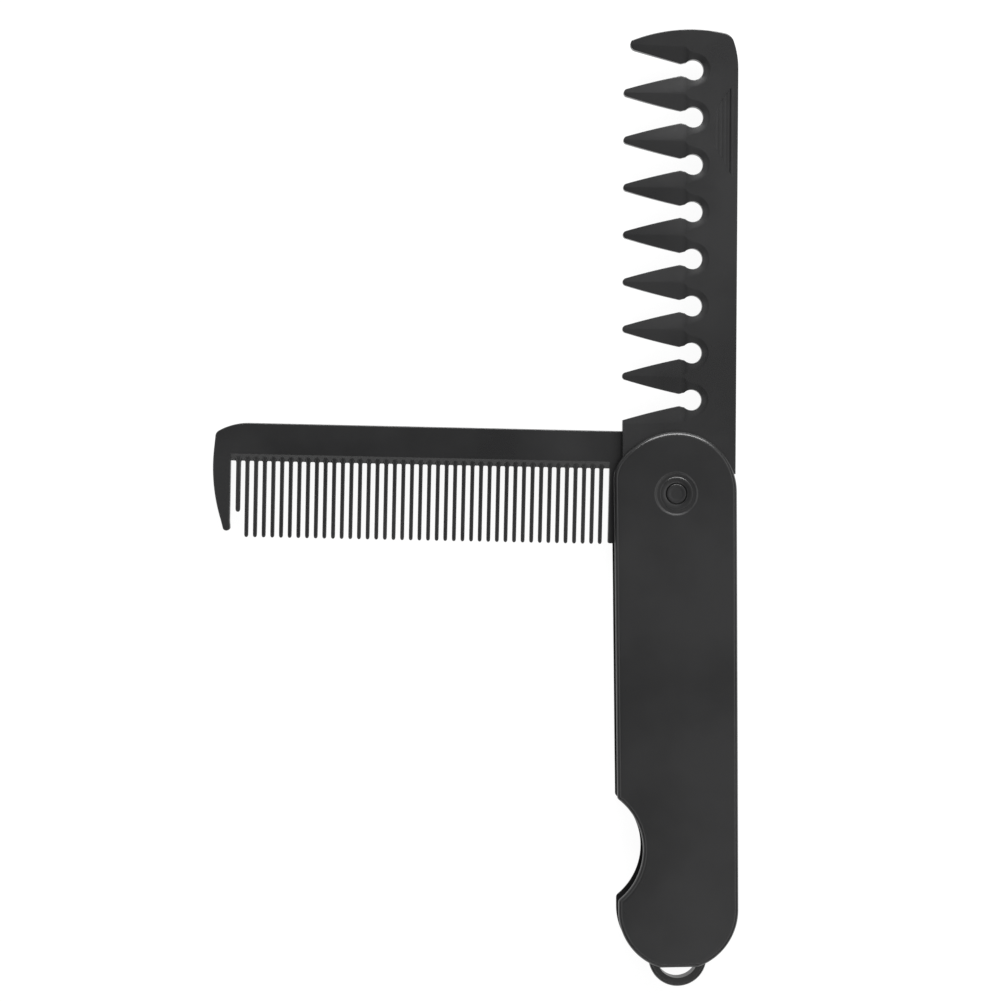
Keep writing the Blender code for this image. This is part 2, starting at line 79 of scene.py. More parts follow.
def startLine(name, x, y, z=0.0):
    # a plane merged to one point, from which lines and arcs are drawn
    deselectAll()
    bpy.ops.mesh.primitive_plane_add(size=mm)
    piece = bpy.context.object
    piece.name = piece.data.name = name
    bpy.ops.object.mode_set(mode="EDIT")
    bpy.ops.mesh.select_mode(type="VERT")
    bpy.ops.mesh.select_all(action="SELECT")
    bpy.ops.mesh.merge(type="CENTER")
    bpy.ops.transform.translate(value=(x * mm, y * mm, z * mm))
    return piece


def penPoint(piece):
    live = bmesh.from_edit_mesh(piece.data)
    return next(vert.co.copy() for vert in live.verts if vert.select) / mm


def lineTo(piece, x=None, y=None, z=None):
    here = penPoint(piece)
    there = Vector([old if new is None else new for old, new in zip(here, (x, y, z))])
    bpy.ops.mesh.extrude_region_move(TRANSFORM_OT_translate={"value": (there - here) * mm})


def arcTo(piece, centre, degrees, steps):
    # anticlockwise when positive, so the spin gets the opposite sign
    level = penPoint(piece).z
    bpy.ops.mesh.spin(steps=steps, angle=-math.radians(degrees), axis=(0, 0, 1),
                      center=(centre[0] * mm, centre[1] * mm, level * mm))


def onArc(centre, radius, degrees):
    angle = math.radians(degrees)
    return centre[0] + radius * math.cos(angle), centre[1] + radius * math.sin(angle)


def fillOutline(weld=0.002):
    bpy.ops.mesh.select_all(action="SELECT")
    bpy.ops.mesh.remove_doubles(threshold=weld * mm)
    bpy.ops.mesh.edge_face_add()


def extrudeBy(x=0.0, y=0.0, z=0.0):
    bpy.ops.mesh.extrude_region_move(TRANSFORM_OT_translate={"value": (x * mm, y * mm, z * mm)})


def faceOutwards(weld=0.001):
    bpy.ops.mesh.select_all(action="SELECT")
    bpy.ops.mesh.remove_doubles(threshold=weld * mm)
    bpy.ops.mesh.normals_make_consistent(inside=False)


def bevelEdges(piece, test, width, segments):
    selectWhere(piece, "EDGE", test)
    bpy.ops.mesh.bevel(offset=width * mm, segments=segments, profile=0.5, affect="EDGES")


def atLevel(*levels, near=0.002):
    # picks an edge that lies flat at one of the heights
    return lambda edge: any(all(abs(v.co.z / mm - z) < near for v in edge.verts) for z in levels)


def uprightAt(*corners, near=0.05, height=0.1):
    # picks the upright edges at these corners
    def test(edge):
        a, b = (vert.co / mm for vert in edge.verts)
        return abs(a.z - b.z) > height and any(
            math.dist(a.xy, corner) < near and math.dist(b.xy, corner) < near for corner in corners)
    return test


def combine(piece, other, operation="DIFFERENCE"):
    pickPiece(piece)
    modifier = piece.modifiers.new("cut", "BOOLEAN")
    modifier.operation = operation
    modifier.solver = "EXACT"
    modifier.object = other
    bpy.ops.object.modifier_apply(modifier=modifier.name)
    bpy.data.objects.remove(other)


def turnProfile(name, rows, steps, centre, weld=0.002):
    # a lathe: the profile is drawn from radius and height, then spun about the upright axis
    piece = startLine(name, rows[0][0], 0, rows[0][1])
    for radius, height in rows[1:]:
        lineTo(piece, x=radius, z=height)
    bpy.ops.mesh.select_all(action="SELECT")
    bpy.ops.mesh.spin(steps=steps, angle=2 * math.pi, axis=(0, 0, 1), center=(0, 0, 0))
    bpy.ops.mesh.select_mode(type="EDGE")
    bpy.ops.mesh.select_all(action="SELECT")
    bpy.ops.mesh.remove_doubles(threshold=weld * mm)
    bpy.ops.mesh.select_all(action="SELECT")
    bpy.ops.mesh.fill_holes(sides=0)
    faceOutwards()
    bpy.ops.transform.translate(value=(centre[0] * mm, centre[1] * mm, 0))
    deselectAll()
    return piece


def cutBore(comb, radius, steps=64, depth=20):
    deselectAll()
    bpy.ops.mesh.primitive_cylinder_add(vertices=steps, radius=radius * mm, depth=depth * mm)
    combine(comb, bpy.context.object)


def hangOnPin(piece, tilt):
    # the combs are drawn upright about the pin, then turned and moved onto it
    pickPiece(piece, "EDIT")
    bpy.ops.mesh.select_all(action="SELECT")
    bpy.ops.transform.rotate(value=-math.radians(tilt), orient_axis="Z", center_override=(0, 0, 0))
    bpy.ops.transform.translate(value=(pivot[0] * mm, pivot[1] * mm, 0))
    deselectAll()


shading = {"weld": 0.0006, "smoothAngle": 32, "flatWeight": 80}


def finishPiece(piece, node, body, material, crisp=None):
    pickPiece(piece, "EDIT")
    bpy.ops.mesh.select_all(action="SELECT")
    bpy.ops.mesh.remove_doubles(threshold=shading["weld"] * mm)
    bpy.ops.mesh.select_all(action="SELECT")
    bpy.ops.mesh.dissolve_degenerate(threshold=shading["weld"] * mm)
    bpy.ops.object.mode_set(mode="OBJECT")
    bpy.ops.object.shade_smooth_by_angle(angle=math.radians(shading["smoothAngle"]))
    if crisp:
        bpy.ops.object.mode_set(mode="EDIT")
        selectWhere(piece, "EDGE", crisp)
        bpy.ops.mesh.mark_sharp()
        bpy.ops.object.mode_set(mode="OBJECT")
    modifier = piece.modifiers.new("flatFaces", "WEIGHTED_NORMAL")
    modifier.keep_sharp = True
    modifier.weight = shading["flatWeight"]
    bpy.ops.object.modifier_apply(modifier=modifier.name)
    piece.data.materials.clear()
    piece.data.materials.append(material)
    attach(piece, body)
    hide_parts(node)
    low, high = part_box(node)
    points = [vert.co for vert in piece.data.vertices]
    over = [max(low[i] - min(p[i] for p in points), max(p[i] for p in points) - high[i]) / mm
            for i in range(3)]
    print(f"{piece.name}: {len(piece.data.polygons)} faces, past its solid by "
          + ", ".join(f"{value:.3f}" for value in over) + " mm")


# A socket that takes plain arithmetic, and the tree that adds nodes
class shaderValue:
    def __init__(self, tree, socket):
        self.tree, self.socket = tree, socket

    def withMath(self, operation, first, second):
        return self.tree.add("Math", {"operation": operation}, {0: first, 1: second})[0]

    def __add__(self, other):
        return self.withMath("ADD", self, other)

    def __sub__(self, other):
        return self.withMath("SUBTRACT", self, other)

    def __rsub__(self, other):
        return self.withMath("SUBTRACT", other, self)

    def __mul__(self, other):
        return self.withMath("MULTIPLY", self, other)

    __radd__ = __add__
    __rmul__ = __mul__


class shaderTree:
    def __init__(self, name):
        self.material = bpy.data.materials.new(name)
        self.material.use_nodes = True
        self.nodes = self.material.node_tree.nodes
        self.links = self.material.node_tree.links

    def put(self, socket, value):
        if isinstance(value, shaderValue):
            self.links.new(value.socket, socket)
        else:
            socket.default_value = value

    def add(self, kind, settings=None, sockets=None):
        node = self.nodes.new("ShaderNode" + kind)
        for name, value in (settings or {}).items():
            if name == "stops":
                for element, (place, shade) in zip(node.color_ramp.elements, value):
                    element.position, element.color = place, (shade, shade, shade, 1)
            else:
                setattr(node, name, value)
        for name, value in (sockets or {}).items():
            self.put(node.inputs[name], value)
        return [shaderValue(self, output) for output in node.outputs]

    def finish(self, sockets):
        for name, value in sockets.items():
            self.put(self.nodes["Principled BSDF"].inputs[name], value)
        return self.material


plastic = {
    "dark": (0.0097, 0.0097, 0.0101, 1),
    "light": (0.0158, 0.0158, 0.0163, 1),
    "cloudScale": 38,  # flow marks from the mould, about 25 mm across
    "flowStops": ((0.38, 0.0), (0.62, 1.0)), "flowShare": 0.80, "flowSheen": 0.05,
    "grainScale": 4200,  # the mould's fine grain, about 0.25 mm
    "grainShare": 0.20, "grainSheen": 0.05, "grainDepth": 0.0035, "grainStrength": 0.35,
    "wipeScale": 2600,  # hairline marks of handling, along the grain of the piece
    "wipeStops": ((0.60, 0.0), (0.74, 1.0)), "wipeSheen": 0.04, "wipeDepth": 0.35,
}


def mouldedPlastic(name, seed, roughness, stretch):
    s = plastic
    tree = shaderTree(name)
    point = tree.add("TexCoord")[3]
    moved = tree.add("Mapping", {}, {"Vector": point, "Location": (seed, 0.37 * seed, 0)})[0]
    drawn = tree.add("Mapping", {}, {"Vector": point, "Scale": stretch})[0]
    cloud = tree.add("TexNoise", {}, {"Vector": moved, "Scale": s["cloudScale"], "Detail": 4.0})[0]
    grain = tree.add("TexNoise", {}, {"Vector": point, "Scale": s["grainScale"], "Detail": 2.0})[0]
    wipe = tree.add("TexNoise", {}, {"Vector": drawn, "Scale": s["wipeScale"], "Detail": 3.0})[0]
    marks = tree.add("ValToRGB", {"stops": s["wipeStops"]}, {0: wipe})[0]
    flow = tree.add("ValToRGB", {"stops": s["flowStops"]}, {0: cloud})[0]
    tone = s["flowShare"] * flow + s["grainShare"] * grain
    colour = tree.add("Mix", {"data_type": "RGBA"}, {0: tone, 6: s["dark"], 7: s["light"]})[2]
    sheen = (roughness + s["flowSheen"] * (flow - 0.5) + s["grainSheen"] * (grain - 0.5)
             + s["wipeSheen"] * marks)
    height = grain + s["wipeDepth"] * (1 - marks)
    normal = tree.add("Bump", {}, {"Strength": s["grainStrength"], "Distance": s["grainDepth"] * mm,
                                   "Height": height})[0]
    return tree.finish({"Base Color": colour, "Roughness": sheen, "Normal": normal,
                        "Specular IOR Level": 0.5, "Metallic": 0.0})


# name, shift of the flow marks, roughness, and the scale of the wipe marks along X, Y and Z
handlePlastic = mouldedPlastic("handlePlastic", 0.0, 0.31, (1, 0.03, 1))
pinPlastic = mouldedPlastic("pinPlastic", 0.3, 0.29, (1, 1, 1))
widePlastic = mouldedPlastic("wideCombPlastic", 0.6, 0.30, (1, 0.03, 1))
finePlastic = mouldedPlastic("fineCombPlastic", 0.9, 0.30, (0.03, 1, 1))
print("materials ready")

handleSizes = {
    "sideTop": 14.77, "sideFoot": 14.51,
    "foot": (-0.02, -50.36), "footRadius": 14.51, "flatY": -64.12,
    "top": (0.20, 50.28), "topRadius": 14.57,
    "bulge": (102, 142), "bulgeRadius": 18.0, "shoulderY": 53.7,
    "notch": (-23.85, -35.4), "notchRadius": 15.40, "notchCorner": 0.5,
    "rim": 1.15, "rimSteps": 8,
    "loopY": -62.28, "loopRadius": 7.05, "loopThick": 2.6, "loopRound": 0.95,
    "eye": (-0.10, -62.14), "eyeRadius": 5.0,
    "spineX": 13.62, "spineTop": 54.2, "endRadius": 13.85, "endY": -61.25,
    "mouthX": -7.2, "mouthFlare": 2.5, "slotReach": 30, "slotTop": 80,
    "steps": {"foot": 28, "top": 40, "bulge": 18, "shoulder": 14, "notch": 36, "corner": 5,
              "loop": 96, "loopRound": 6, "eye": 48, "slotEnd": 16},
}


def handleSide(y):
    s = handleSizes
    share = (pivot[1] - y) / (pivot[1] - s["foot"][1])
    return s["sideTop"] + (s["sideFoot"] - s["sideTop"]) * share


def notchAngle(sign, tries=12):
    # where the thumb notch meets the left side, found by a few rounds of aiming
    s = handleSizes
    y = s["notch"][1]
    for _ in range(tries):
        reach = -handleSide(y) - s["notch"][0]
        y = s["notch"][1] + sign * math.sqrt(s["notchRadius"] ** 2 - reach ** 2)
    return math.degrees(math.atan2(y - s["notch"][1], reach))


def drawPlates():
    s, steps = handleSizes, handleSizes["steps"]
    flat = math.degrees(math.asin((s["foot"][1] - s["flatY"]) / s["footRadius"]))
    piece = startLine("handleShell", *onArc(s["foot"], s["footRadius"], -flat))
    arcTo(piece, s["foot"], flat, steps["foot"])
    lineTo(piece, s["top"][0] + s["topRadius"], s["top"][1])
    # the top ends in a wider arc and a shoulder that runs into the left side
    first, last = s["bulge"]
    arcTo(piece, s["top"], first, steps["top"])
    wide = onArc(s["top"], s["topRadius"] - s["bulgeRadius"], first)
    arcTo(piece, wide, last - first, steps["bulge"])
    reach = onArc(wide, s["bulgeRadius"], last)[0] + handleSide(s["shoulderY"])
    radius = reach / (1 + math.cos(math.radians(last)))
    shoulder = onArc(wide, s["bulgeRadius"] - radius, last)
    arcTo(piece, shoulder, 180 - last, steps["shoulder"])
    upper, lower = notchAngle(1), notchAngle(-1)
    lineTo(piece, *onArc(s["notch"], s["notchRadius"], upper))
    arcTo(piece, s["notch"], lower - upper, steps["notch"])
    lineTo(piece, s["foot"][0] - s["footRadius"], s["foot"][1])
    arcTo(piece, s["foot"], flat, steps["foot"])
    fillOutline()
    extrudeBy(z=thick)
    faceOutwards()
    ends = [onArc(s["notch"], s["notchRadius"], angle) for angle in (upper, lower)]
    bevelEdges(piece, uprightAt(*ends), s["notchCorner"], steps["corner"])
    bevelEdges(piece, atLevel(0, thick), s["rim"], s["rimSteps"])
    deselectAll()
    return piece


def drawLoop():
    s, steps = handleSizes, handleSizes["steps"]
    deselectAll()
    bpy.ops.mesh.primitive_cylinder_add(vertices=steps["loop"], radius=s["loopRadius"] * mm,
                                        depth=s["loopThick"] * mm)
    loop = bpy.context.object
    bpy.ops.object.mode_set(mode="EDIT")
    bpy.ops.transform.translate(value=(0, s["loopY"] * mm, thick / 2 * mm))
    low, high = (thick - s["loopThick"]) / 2, (thick + s["loopThick"]) / 2
    bevelEdges(loop, atLevel(low, high), s["loopRound"], steps["loopRound"])
    deselectAll()
    flat = math.degrees(math.asin((s["eye"][1] - s["flatY"]) / s["eyeRadius"]))
    eye = startLine("eye", *onArc(s["eye"], s["eyeRadius"], 180 + flat), low - beyond)
    arcTo(eye, s["eye"], 180 - 2 * flat, steps["eye"])
    fillOutline()
    extrudeBy(z=s["loopThick"] + 2 * beyond)
    faceOutwards()
    deselectAll()
    return loop, eye


def drawSlot():
    s = handleSizes
    rise = s["foot"][1] - s["endY"]
    start = -math.degrees(math.asin(rise / s["endRadius"]))
    stop = -math.degrees(math.acos((s["spineX"] - s["foot"][0]) / s["endRadius"]))
    slot = startLine("slotSpace", -s["slotReach"], s["flatY"], slotLow)
    lineTo(slot, s["mouthX"] - s["mouthFlare"])
    lineTo(slot, s["mouthX"], s["endY"])
    lineTo(slot, *onArc(s["foot"], s["endRadius"], start))
    arcTo(slot, s["foot"], stop - start, s["steps"]["slotEnd"])
    lineTo(slot, s["spineX"], s["spineTop"])
    lineTo(slot, s["slotReach"])
    lineTo(slot, y=s["slotTop"])
    lineTo(slot, -s["slotReach"])
    fillOutline()
    extrudeBy(z=slotHigh - slotLow)
    faceOutwards()
    deselectAll()
    return slot


rosette = {
    "recess": 4.66, "recessDepth": 0.235, "recessLip": 0.72,
    "lipMouth": ((0.3, 1.0), (0.02, 0.01)),  # how far outside the lip, and above the face
    # the lip's slope: share of its width, and share of the recess's depth
    "lipSlope": ((0.93, 0.015), (0.80, 0.10), (0.66, 0.26), (0.30, 0.74), (0.18, 0.89), (0.05, 0.98)),
    "bossFoot": 3.92, "footEase": (0.08, 0.05), "floorEase": 0.02,
    "bossTop": 3.80, "bossInset": 0.10, "bossLip": 0.05, "bossFlat": (0.40, 0.01),
    # the dish round the pin: how far outside the seat, and how far under the boss's top
    "seat": 2.6, "seatDepth": 0.85, "dish": ((0.22, 0.08), (0.05, 0.14), (0.0, 0.22)),
    # the same on the back: how far outside the seat, and the height
    "bore": 1.85, "backDish": ((0.0, 0.12), (0.12, -0.01), (0.4, -1.0)),
    "steps": 112,
}


def drawPivotCut():
    s = rosette
    floor, top = thick - s["recessDepth"], thick - s["bossInset"]
    lip, edge = s["recessLip"], s["bossLip"]
    rows = [(s["recess"] + lip + away, thick + up) for away, up in s["lipMouth"]]
    rows += [(s["recess"] + lip * away, thick - (thick - floor) * drop) for away, drop in s["lipSlope"]]
    rows += [(s["recess"] - s["floorEase"], floor), (s["bossFoot"] + s["footEase"][0], floor),
             (s["bossFoot"], floor + s["footEase"][1])]
    rows += [(s["bossTop"] - edge + edge * math.cos(turn), top - edge + edge * math.sin(turn))
             for turn in roundTurns]
    rows += [(s["bossTop"] - s["bossFlat"][0], top - s["bossFlat"][1])]
    rows += [(s["seat"] + away, top - drop) for away, drop in s["dish"]]
    rows += [(s["seat"], thick - s["seatDepth"]), (s["bore"], thick - s["seatDepth"]),
             (s["bore"], s["seatDepth"]), (s["seat"], s["seatDepth"])]
    rows += [(s["seat"] + away, height) for away, height in s["backDish"]]
    return turnProfile("pivotCut", rows, s["steps"], pivot)


def makeHandle():
    shell = drawPlates()
    loop, eye = drawLoop()
    combine(shell, loop, "UNION")
    combine(shell, eye)
    combine(shell, drawSlot())
    combine(shell, drawPivotCut())
    finishPiece(shell, "handle", "handle", handlePlastic)
    print("handle done")


pinSizes = {
    "inset": 0.1, "head": 2.3, "headThick": 0.6, "shaft": 1.6, "round": 0.16, "steps": 96,
    "dimple": ((1.92, 0.0), (1.80, 0.01), (1.66, 0.03), (1.40, 0.07), (1.24, 0.09)),  # radius and depth
}


def makePin():
    # a rivet-like pin: a flat head in each plate, the front one with a shallow dimple
    s = pinSizes
    low, high, head = s["inset"], thick - s["inset"], s["head"]
    edge = [(s["round"] * (1 - math.cos(turn)), s["round"] * (1 - math.sin(turn))) for turn in roundTurns]
    rows = [(head - x, low + z) for x, z in reversed(edge)]
    rows += [(head, low + s["headThick"]), (s["shaft"], low + s["headThick"]),
             (s["shaft"], high - s["headThick"]), (head, high - s["headThick"])]
    rows += [(head - x, high - z) for x, z in edge]
    rows += [(radius, high - depth) for radius, depth in s["dimple"]]
    pin = turnProfile("pivotPin", rows, s["steps"], pivot)
    finishPiece(pin, "pivot_pin", "handle", pinPlastic)
    print("pin done")


wideSizes = {
    "low": 4.0, "high": 6.0, "middle": 5.0, "tilt": -0.753,
    "backX": 14.43, "frontX": -12.84, "tang": 13.1, "stopY": 4.7, "bore": 1.85,
    "slots": 8, "pitch": 11.255, "firstSlot": 22.45,
    "hole": (3.69, 0.0), "holeRadius": 2.46, "holeOpen": 135.0,
    "neckX": 0.70, "neckHalf": 1.455, "neckRadius": 1.1, "neckTurn": 65,
    "flank": (12.2, 16.5), "endFlank": (15.0, 15.8), "flankLength": 13.2,
    "tipTurn": 195, "endTipTurn": 235, "leadOut": 0.9, "mouthX": -17,
    "apex": 6.2,
    # the crown of a tooth: share of the way from its edge to its ridge, and height
    "crown": ((0.0, 0.42), (0.010, 0.455), (0.04, 0.49), (0.11, 0.545), (0.24, 0.632), (0.38, 0.732),
              (0.52, 0.828), (0.65, 0.906), (0.75, 0.961), (0.82, 0.991), (0.86, 1.004), (0.86, 1.08)),
    "crownWidth": 4.75, "crownEase": 1.25, "leastFall": 0.25,
    "ringFall": 0.82, "ringEase": 0.38, "ringEaseTurn": (25, 85),
    "ring": 4.30, "ringTurn": (80, 143),  # the ring behind the hole, and where it runs into the flanks
    # the teeth thin towards their tips on both faces
    "taperX": 2.0, "tipShare": 0.66, "teethMiddle": 60, "teethLength": 130,
    "endTipX": -10.75, "endTipRadius": 1.50, "endTipShare": 0.78,
    "endArc": (3.3, 71.8), "endRadius": 38.98, "endTurn": 112.5,
    "backArc": (-5.57, 101.5), "backRadius": 20.0, "cornerRadius": 3.0,
    "tipMargin": 0.4, "rootDrop": 2, "rim": 0.22, "rimSteps": 3,
    "steps": {"hole": 18, "neck": 6, "flank": 8, "tip": 12, "endTip": 14,
              "back": 10, "corner": 10, "end": 24, "tang": 60},
}


def drawHalfSlot(piece, kind):
    # one side of a keyhole slot, from the hole's far end along a tooth to beyond its tip
    s, steps = wideSizes, wideSizes["steps"]
    neckDeg, tipDeg = s["endFlank"] if kind == "end" else s["flank"]
    neck, tip = math.radians(neckDeg), math.radians(tipDeg)
    arcTo(piece, s["hole"], s["holeOpen"], steps["hole"])
    neckCentre = (s["neckX"], s["neckHalf"] + s["neckRadius"])
    lineTo(piece, *onArc(neckCentre, s["neckRadius"], -s["neckTurn"]))
    arcTo(piece, neckCentre, s["neckTurn"] - 90 - neckDeg, steps["neck"])
    here = penPoint(piece)
    radius = s["flankLength"] / (tip - neck)
    flankCentre = (here.x + radius * math.sin(neck), here.y + radius * math.cos(neck))
    if kind == "end":
        radiusTip, tipTurn = s["endTipRadius"], s["endTipTurn"]
        slope = neck + (tip - neck) * s["endTipShare"]
        along = (here.x - s["endTipX"] - radiusTip * math.sin(slope)) / math.cos((neck + slope) / 2)
        share = math.degrees(along / radius)
        arcTo(piece, flankCentre, -share, steps["flank"])
        turn = neckDeg + share
        here = penPoint(piece)
        tipCentre = (here.x + radiusTip * math.sin(math.radians(turn)),
                     here.y + radiusTip * math.cos(math.radians(turn)))
        arcTo(piece, tipCentre, -(tipTurn - 90 - turn), steps["endTip"])
    else:
        arcTo(piece, flankCentre, neckDeg - tipDeg, steps["flank"])
        here = penPoint(piece)
        if kind == "root":
            lineTo(piece, s["mouthX"], here.y + (here.x - s["mouthX"]) * math.tan(tip))
            return
        radiusTip, tipTurn = (s["pitch"] / 2 - here.y) / math.cos(tip), s["tipTurn"]
        tipCentre = (here.x + radiusTip * math.sin(tip), s["pitch"] / 2)
        arcTo(piece, tipCentre, -(tipTurn - 90 - tipDeg), steps["tip"])
    here = penPoint(piece)
    lineTo(piece, *onArc((here.x, here.y), s["leadOut"], -tipTurn))
    lineTo(piece, s["mouthX"])


def drawGapCutter(lower, upper, holeY, near=0.01, flush=0.001):
    # the lower side is drawn as an upper one and turned over, then the upper side is added
    s = wideSizes
    start = s["hole"][0] + s["holeRadius"]
    piece = startLine("gapCutter", start, 0)
    drawHalfSlot(piece, lower)
    bpy.ops.mesh.select_all(action="SELECT")
    bpy.ops.transform.resize(value=(1, -1, 1), center_override=(0, 0, 0))
    selectWhere(piece, "VERT", lambda vert: math.dist(vert.co.xy / mm, (start, 0)) < near)
    drawHalfSlot(piece, upper)
    fillOutline()
    for _, height in s["crown"]:
        extrudeBy(z=height - penPoint(piece).z)
    closeIn(piece)
    selectWhere(piece, "FACE", lambda face: all(abs(vert.co.z) < flush * mm for vert in face.verts))
    bpy.ops.mesh.delete(type="ONLY_FACE")
    bpy.ops.object.mode_set(mode="OBJECT")
    mirror = piece.modifiers.new("bothFaces", "MIRROR")
    mirror.use_axis = (False, False, True)
    mirror.merge_threshold = flush * mm
    bpy.ops.object.modifier_apply(modifier=mirror.name)
    pickPiece(piece, "EDIT")
    faceOutwards()
    bpy.ops.transform.translate(value=(0, holeY * mm, s["middle"] * mm))
    deselectAll()
    return piece


def easeBetween(value, start, stop):
    share = min(1.0, max(0.0, (value - start) / (stop - start)))
    return share * share * (3 - 2 * share)


def closeIn(piece, near=0.002):
    # row by row the cutter widens: round the hole towards a ring, beside the teeth towards their ridges,
    # and where the way is short the rows lie nearer the face, so that all flanks rise at one angle
    s = wideSizes
    hole = Vector(s["hole"])
    live = bmesh.from_edit_mesh(piece.data)
    for vert in live.verts:
        row = next((row for row in s["crown"] if abs(vert.co.z / mm - row[1]) < near), None)
        if not row:
            continue
        share, height = row
        place = vert.co.xy / mm
        target, fall = place, s["leastFall"]
        if abs(place.y) < s["apex"]:
            arm = place - hole
            turn = abs(math.degrees(math.atan2(arm.y, arm.x)))
            blend = easeBetween(turn, *s["ringTurn"])
            ring = hole + arm.normalized() * s["ring"]
            ridge = Vector((place.x, math.copysign(s["apex"], place.y)))
            target = ring.lerp(ridge, blend)
            flank = (target - place).length / s["crownWidth"]
            basin = s["ringFall"] * (1 - s["ringEase"] * easeBetween(turn, *s["ringEaseTurn"]))
            fall = max(fall, basin + (min(1.0, flank) ** s["crownEase"] - basin) * blend)
        vert.co.xy = (place + share * (target - place)) * mm
        vert.co.z = (1 - (1 - height) * fall) * mm
    bmesh.update_edit_mesh(piece.data)


def thinTips(comb):
    # a lattice squeezes the teeth between their roots and their tips
    s = wideSizes
    pickPiece(comb, "EDIT")
    count = selectWhere(comb, "VERT", lambda vert: vert.co.x / mm < s["taperX"]
                        and vert.co.y / mm > s["firstSlot"])
    group = comb.vertex_groups.new(name="teeth")
    bpy.ops.object.vertex_group_assign()
    deselectAll()
    far, near = s["frontX"], s["taperX"]
    bpy.ops.object.add(type="LATTICE", location=((far + near) / 2 * mm, s["teethMiddle"] * mm,
                                                 s["middle"] * mm))
    cage = bpy.context.object
    cage.scale = ((near - far) * mm, s["teethLength"] * mm, (s["high"] - s["low"]) * mm)
    cage.data.interpolation_type_u = "KEY_LINEAR"
    for point in cage.data.points:
        if point.co.x < 0:
            point.co_deform.z = point.co.z * s["tipShare"]
    pickPiece(comb)
    squeeze = comb.modifiers.new("thinTips", "LATTICE")
    squeeze.object = cage
    squeeze.vertex_group = group.name
    bpy.ops.object.modifier_apply(modifier=squeeze.name)
    comb.vertex_groups.clear()
    bpy.data.objects.remove(cage)
    print(count, "points of the teeth thinned")


def cornerCircle():
    # the round corner that touches the back curve and the end arc from inside
    s = wideSizes
    back, end = Vector(s["backArc"]), Vector(s["endArc"])
    reachBack, reachEnd = s["backRadius"] - s["cornerRadius"], s["endRadius"] - s["cornerRadius"]
    apart = (end - back).length
    along = (reachBack ** 2 - reachEnd ** 2 + apart ** 2) / (2 * apart)
    aside = math.sqrt(reachBack ** 2 - along ** 2)
    way = (end - back) / apart
    centre = back + way * along + Vector((-way.y, way.x)) * aside
    angles = [math.degrees(math.atan2(*(centre - other).yx)) for other in (back, end)]
    return centre, angles[0], angles[1]


def drawWideSlab():
    s, steps = wideSizes, wideSizes["steps"]
    lastSlot = s["firstSlot"] + s["pitch"] * (s["slots"] - 1)
    slab = startLine("wideComb", s["backX"], s["stopY"], s["low"])
    lineTo(slab, y=s["backArc"][1])
    corner, start, stop = cornerCircle()
    arcTo(slab, s["backArc"], start, steps["back"])
    arcTo(slab, corner, stop - start, steps["corner"])
    arcTo(slab, s["endArc"], s["endTurn"] - stop, steps["end"])
    lineTo(slab, s["frontX"] - s["tipMargin"], lastSlot + s["pitch"] / 2)
    lineTo(slab, y=s["firstSlot"])
    lineTo(slab, s["frontX"], s["firstSlot"] - s["rootDrop"])
    left = math.degrees(math.acos(s["frontX"] / s["tang"]))
    right = math.degrees(math.asin(s["stopY"] / s["tang"]))
    lineTo(slab, *onArc((0, 0), s["tang"], left))
    arcTo(slab, (0, 0), 360 + right - left, steps["tang"])
    fillOutline()
    extrudeBy(z=s["high"] - s["low"])
    faceOutwards()
    bevelEdges(slab, atLevel(s["low"], s["high"]), s["rim"], s["rimSteps"])
    deselectAll()
    return slab


# the grip by the comb's back corner: a shallow field inside a curved outline, with flutes along it
grip = {
    "outline": ((13.24, 97.6), (12.70, 96.94), (11.65, 95.75), (10.63, 94.33), (9.85, 93.0), (9.25, 91.55),
                (8.80, 90.3), (8.60, 89.2), (8.60, 83.2), (12.55, 76.7), (13.24, 75.6)),
    "centre": (10.92, 86.6), "floor": 0.03, "lift": 0.02, "edgeDepth": 0.12, "edgeSlope": (0.87, 0.966),
    "left": 8.0, "right": 14.0, "start": 70, "length": 32, "height": 0.5,  # the block that holds the flutes
    "firstFlute": 9.51, "pitch": 1.02, "count": 3, "halfWidth": 0.50, "depth": 0.03, "steps": 8,
    "lineX": 12.55, "lineHalf": 0.20, "lineDepth": 0.17,  # a deeper line beside the back
    "crispFrom": (8.3, 5.9), "flatSlant": 0.9995, "edgeSlants": (0.85, 0.975),
}


def drawGrip():
    s, top = grip, wideSizes["high"]
    level = top - s["floor"]
    flutes = startLine("flutes", s["left"], s["start"], top + s["height"])
    lineTo(flutes, z=level)
    for index in range(s["count"]):
        middle = s["firstFlute"] + s["pitch"] * index
        for step in range(s["steps"] + 1):
            across = 2 * step / s["steps"] - 1
            drop = s["depth"] * (1 - abs(across)) ** 2
            lineTo(flutes, x=middle + across * s["halfWidth"], z=level - drop)
    for across in (-1, 0, 1):
        drop = s["lineDepth"] * (1 - abs(across))
        lineTo(flutes, x=s["lineX"] + across * s["lineHalf"], z=level - drop)
    lineTo(flutes, x=s["right"])
    lineTo(flutes, z=top + s["height"])
    fillOutline()
    extrudeBy(y=s["length"])
    faceOutwards()
    area = startLine("gripArea", *s["outline"][0], top + s["lift"])
    for x, y in s["outline"][1:]:
        lineTo(area, x=x, y=y)
    fillOutline()
    for share in (1, 2):
        extrudeBy(z=-s["edgeDepth"] * share)
        slope = [1 - (1 - value) * share for value in s["edgeSlope"]]
        bpy.ops.transform.resize(value=(*slope, 1), center_override=(
            s["centre"][0] * mm, s["centre"][1] * mm, 0))
    faceOutwards()
    combine(flutes, area, "INTERSECT")
    return flutes


